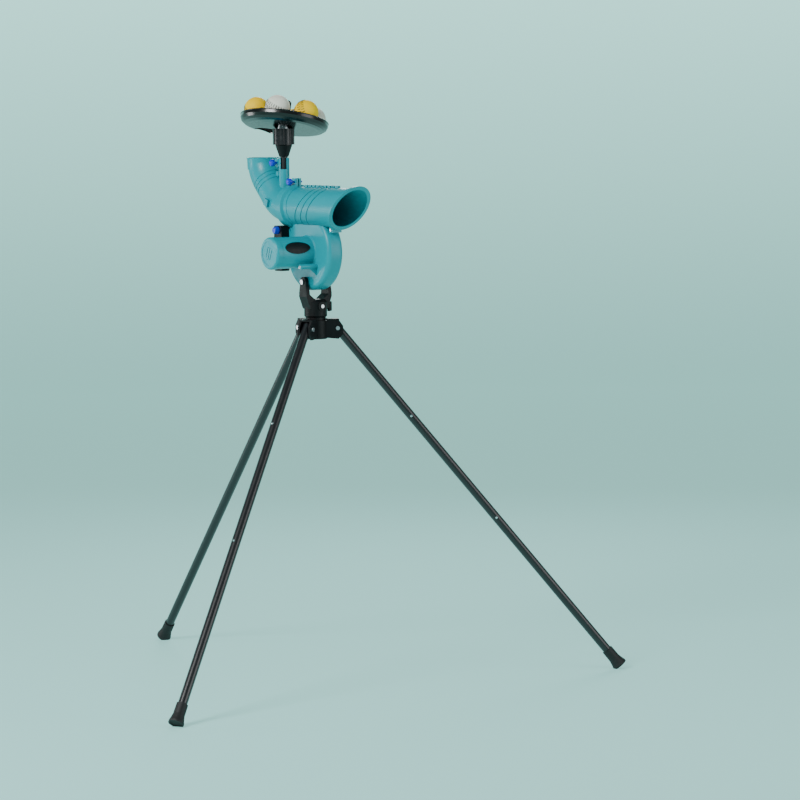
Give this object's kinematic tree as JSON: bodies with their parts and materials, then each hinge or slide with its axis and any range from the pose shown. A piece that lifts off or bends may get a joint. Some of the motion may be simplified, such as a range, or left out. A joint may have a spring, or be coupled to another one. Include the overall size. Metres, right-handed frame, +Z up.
{
  "type": "tennis ball machine",
  "caption": "Free-standing ball machine: a spinning wheel under a slanted barrel, fed by a funnel chute and a turning ball tray, on a panning, tilting fork and folding tripod.",
  "frame": {"origin": "on the ground, under the middle of the footprint of the three feet", "axes": "+X the way the balls leave, +Y the machine's left, +Z up"},
  "size_m": [1.3106, 1.5068, 1.63],
  "materials": {
    "black_plastic": "fine moulded texture",
    "black_tube": "satin powder coat",
    "foot_rubber": "matte",
    "steel": "zinc plated",
    "button_steel": "polished",
    "teal_plastic": "satin gloss moulded",
    "badge_black": "gloss",
    "wheel_plastic": "moulded nylon",
    "tyre_rubber": "matte",
    "pad_rubber": "matte",
    "blue_plastic": "gloss",
    "tray_black": "gloss",
    "grey_plastic": "satin ribbed",
    "ball_yellow": "dimpled",
    "ball_white": "dimpled"
  },
  "bodies": {
    "base": {"tripod_hub": "black_plastic", "leg_pivot_bolts": "steel"},
    "leg_front_left": {"leg_upper_tube_front_left": "black_tube", "leg_middle_tube_front_left": "black_tube", "leg_lower_tube_front_left": "black_tube", "rubber_foot_front_left": "foot_rubber"},
    "snap_button_upper_front_left": {"snap_button_upper_front_left": "button_steel"},
    "snap_button_lower_front_left": {"snap_button_lower_front_left": "button_steel"},
    "leg_front_right": {"leg_upper_tube_front_right": "black_tube", "leg_middle_tube_front_right": "black_tube", "leg_lower_tube_front_right": "black_tube", "rubber_foot_front_right": "foot_rubber"},
    "snap_button_upper_front_right": {"snap_button_upper_front_right": "button_steel"},
    "snap_button_lower_front_right": {"snap_button_lower_front_right": "button_steel"},
    "leg_rear": {"leg_upper_tube_rear": "black_tube", "leg_middle_tube_rear": "black_tube", "leg_lower_tube_rear": "black_tube", "rubber_foot_rear": "foot_rubber"},
    "snap_button_upper_rear": {"snap_button_upper_rear": "button_steel"},
    "snap_button_lower_rear": {"snap_button_lower_rear": "button_steel"},
    "yoke": {"yoke": "black_plastic", "yoke_screw": "steel"},
    "pan_lock": {"pan_lock_wing": "black_plastic"},
    "head": {"housing_left": "teal_plastic", "housing_right": "teal_plastic", "tilt_bolts": "steel", "motor": "steel", "motor_cover": "teal_plastic", "motor_end_cap": "teal_plastic", "badge_plate": "badge_black", "barrel": "teal_plastic", "pressure_pad": "pad_rubber", "chute": "teal_plastic", "housing_screws": "steel", "control_box": "black_plastic", "power_socket": "black_plastic"},
    "throwing_wheel": {"motor_shaft": "steel", "wheel_hub": "wheel_plastic", "wheel_tyre": "tyre_rubber"},
    "stem_clamp": {"stem_clamp_screw": "blue_plastic"},
    "collar_clamp": {"collar_clamp_screw": "blue_plastic"},
    "speed_knob": {"speed_knob": "blue_plastic"},
    "power_switch": {"power_switch": "black_plastic"},
    "feeder": {"feeder_stem": "black_tube", "feeder_adaptor": "black_plastic", "feeder_column": "grey_plastic", "feeder_motor": "steel", "ball_tray": "tray_black"},
    "rotor": {"feeder_rotor": "black_plastic", "rotor_post": "tray_black", "feeder_drive_shaft": "steel", "ball_yellow_one": "ball_yellow", "ball_white_one": "ball_white", "ball_yellow_two": "ball_yellow", "ball_white_two": "ball_white", "ball_yellow_three": "ball_yellow"}
  },
  "joints": [
    {"name": "leg_fold_front_left", "type": "hinge", "parent": "base", "child": "leg_front_left", "pos_m": [0.2406, 0.05196, 0.981], "axis": [-0.866, 0.5, 0], "range_deg": [0, 34]},
    {"name": "button_press_upper_front_left", "type": "slide", "parent": "leg_front_left", "child": "snap_button_upper_front_left", "axis": [0.866, -0.5, 0], "range_m": [-0.0048, 0], "stiffness_N_per_m": 400, "springref_m": 0.003},
    {"name": "button_press_lower_front_left", "type": "slide", "parent": "leg_front_left", "child": "snap_button_lower_front_left", "axis": [0.866, -0.5, 0], "range_m": [-0.0048, 0], "stiffness_N_per_m": 400, "springref_m": 0.003},
    {"name": "leg_fold_front_right", "type": "hinge", "parent": "base", "child": "leg_front_right", "pos_m": [0.2406, -0.05196, 0.981], "axis": [0.866, 0.5, 0], "range_deg": [0, 34]},
    {"name": "button_press_upper_front_right", "type": "slide", "parent": "leg_front_right", "child": "snap_button_upper_front_right", "axis": [0.388, -0.6721, 0.6307], "range_m": [-0.0048, 0], "stiffness_N_per_m": 400, "springref_m": 0.003},
    {"name": "button_press_lower_front_right", "type": "slide", "parent": "leg_front_right", "child": "snap_button_lower_front_right", "axis": [0.388, -0.6721, 0.6307], "range_m": [-0.0048, 0], "stiffness_N_per_m": 400, "springref_m": 0.003},
    {"name": "leg_fold_rear", "type": "hinge", "parent": "base", "child": "leg_rear", "pos_m": [0.1506, 0, 0.981], "axis": [0, -1, 0], "range_deg": [0, 34]},
    {"name": "button_press_upper_rear", "type": "slide", "parent": "leg_rear", "child": "snap_button_upper_rear", "axis": [0, 1, 0], "range_m": [-0.0048, 0], "stiffness_N_per_m": 400, "springref_m": 0.003},
    {"name": "button_press_lower_rear", "type": "slide", "parent": "leg_rear", "child": "snap_button_lower_rear", "axis": [0, 1, 0], "range_m": [-0.0048, 0], "stiffness_N_per_m": 400, "springref_m": 0.003},
    {"name": "pan", "type": "hinge", "parent": "base", "child": "yoke", "pos_m": [0.2106, 0, 1.0035], "axis": [0, 0, 1], "range_deg": [-170, 170]},
    {"name": "pan_lock_turn", "type": "hinge", "parent": "yoke", "child": "pan_lock", "pos_m": [0.2106, 0.04, 1.04], "axis": [0, 1, 0], "range_deg": [-90, 90]},
    {"name": "tilt", "type": "hinge", "parent": "yoke", "child": "head", "pos_m": [0.2106, 0, 1.111], "axis": [0, 1, 0], "range_deg": [-30, 15]},
    {"name": "wheel_spin", "type": "hinge", "parent": "head", "child": "throwing_wheel", "pos_m": [0.2106, 0, 1.194], "axis": [0, 1, 0], "continuous": true},
    {"name": "stem_clamp_turn", "type": "hinge", "parent": "head", "child": "stem_clamp", "pos_m": [0.0366, -0.015, 1.439], "axis": [0, -1, 0], "range_deg": [0, 330]},
    {"name": "collar_clamp_turn", "type": "hinge", "parent": "head", "child": "collar_clamp", "pos_m": [0.1226, -0.015, 1.387], "axis": [0, -1, 0], "range_deg": [0, 330]},
    {"name": "speed_knob_turn", "type": "hinge", "parent": "head", "child": "speed_knob", "pos_m": [0.1026, -0.055, 1.252], "axis": [0, -1, 0], "range_deg": [-140, 140]},
    {"name": "power_switch_rock", "type": "hinge", "parent": "head", "child": "power_switch", "pos_m": [0.1026, -0.05, 1.2005], "axis": [1, 0, 0], "range_deg": [0, 14]},
    {"name": "feeder_swivel", "type": "hinge", "parent": "head", "child": "feeder", "pos_m": [0.0606, 0, 1.4], "axis": [0, 0, 1], "range_deg": [-25, 25]},
    {"name": "rotor_turn", "type": "hinge", "parent": "feeder", "child": "rotor", "pos_m": [0.0606, 0, 1.5365], "axis": [-0.108, 0.2315, 0.9668], "continuous": true}
  ]
}
